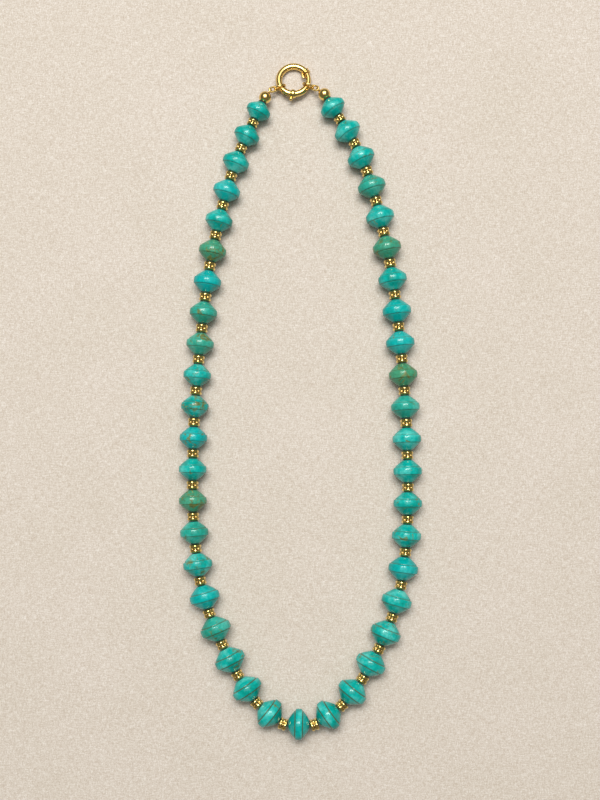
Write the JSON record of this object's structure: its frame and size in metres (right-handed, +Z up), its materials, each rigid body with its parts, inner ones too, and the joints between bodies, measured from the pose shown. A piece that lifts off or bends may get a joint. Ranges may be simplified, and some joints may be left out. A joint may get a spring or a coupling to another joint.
{
  "type": "beaded necklace",
  "caption": "Strand of graduated banded bicone turquoise beads with waisted gold spacers between them, gold end balls and a large sprung ring clasp, laid flat in a long oval.",
  "frame": {"origin": "middle of the laid necklace's outline, on the surface that it lies on", "axes": "+Z up from the surface, +Y towards the clasp along the oval's length, +X to the right seen from above with the clasp at the top"},
  "size_m": [0.0864, 0.242, 0.0108],
  "materials": {
    "turquoise": "polished",
    "granulated_gold": "satin",
    "polished_gold": "polished",
    "thread": "matte"
  },
  "bodies": {
    "root": {"turquoise_bead_01": "turquoise", "turquoise_bead_02": "turquoise", "turquoise_bead_03": "turquoise", "turquoise_bead_04": "turquoise", "turquoise_bead_05": "turquoise", "turquoise_bead_06": "turquoise", "turquoise_bead_07": "turquoise", "turquoise_bead_08": "turquoise", "turquoise_bead_09": "turquoise", "turquoise_bead_10": "turquoise", "turquoise_bead_11": "turquoise", "turquoise_bead_12": "turquoise", "turquoise_bead_13": "turquoise", "turquoise_bead_14": "turquoise", "turquoise_bead_15": "turquoise", "turquoise_bead_16": "turquoise", "turquoise_bead_17": "turquoise", "turquoise_bead_18": "turquoise", "turquoise_bead_19": "turquoise", "turquoise_bead_20": "turquoise", "turquoise_bead_21": "turquoise", "turquoise_bead_22": "turquoise", "turquoise_bead_23": "turquoise", "turquoise_bead_24": "turquoise", "turquoise_bead_25": "turquoise", "turquoise_bead_26": "turquoise", "turquoise_bead_27": "turquoise", "turquoise_bead_28": "turquoise", "turquoise_bead_29": "turquoise", "turquoise_bead_30": "turquoise", "turquoise_bead_31": "turquoise", "turquoise_bead_32": "turquoise", "turquoise_bead_33": "turquoise", "turquoise_bead_34": "turquoise", "turquoise_bead_35": "turquoise", "turquoise_bead_36": "turquoise", "turquoise_bead_37": "turquoise", "turquoise_bead_38": "turquoise", "turquoise_bead_39": "turquoise", "turquoise_bead_40": "turquoise", "turquoise_bead_41": "turquoise", "turquoise_bead_42": "turquoise", "turquoise_bead_43": "turquoise", "strand": "granulated_gold", "end_ball_left": "polished_gold", "end_ball_right": "polished_gold", "oval_link_left": "polished_gold", "oval_link_right": "polished_gold", "jump_ring_left": "polished_gold", "jump_ring_right": "polished_gold", "clasp_ring": "polished_gold"},
    "trigger": {"clasp_trigger": "polished_gold"}
  },
  "joints": [
    {"name": "clasp_trigger_turn", "type": "hinge", "parent": "root", "child": "trigger", "pos_m": [-0.00243, 0.11469, 0.00207], "axis": [0, -0.1736, -0.9848], "range_deg": [0, 30], "stiffness_Nm_per_rad": 0.008}
  ]
}
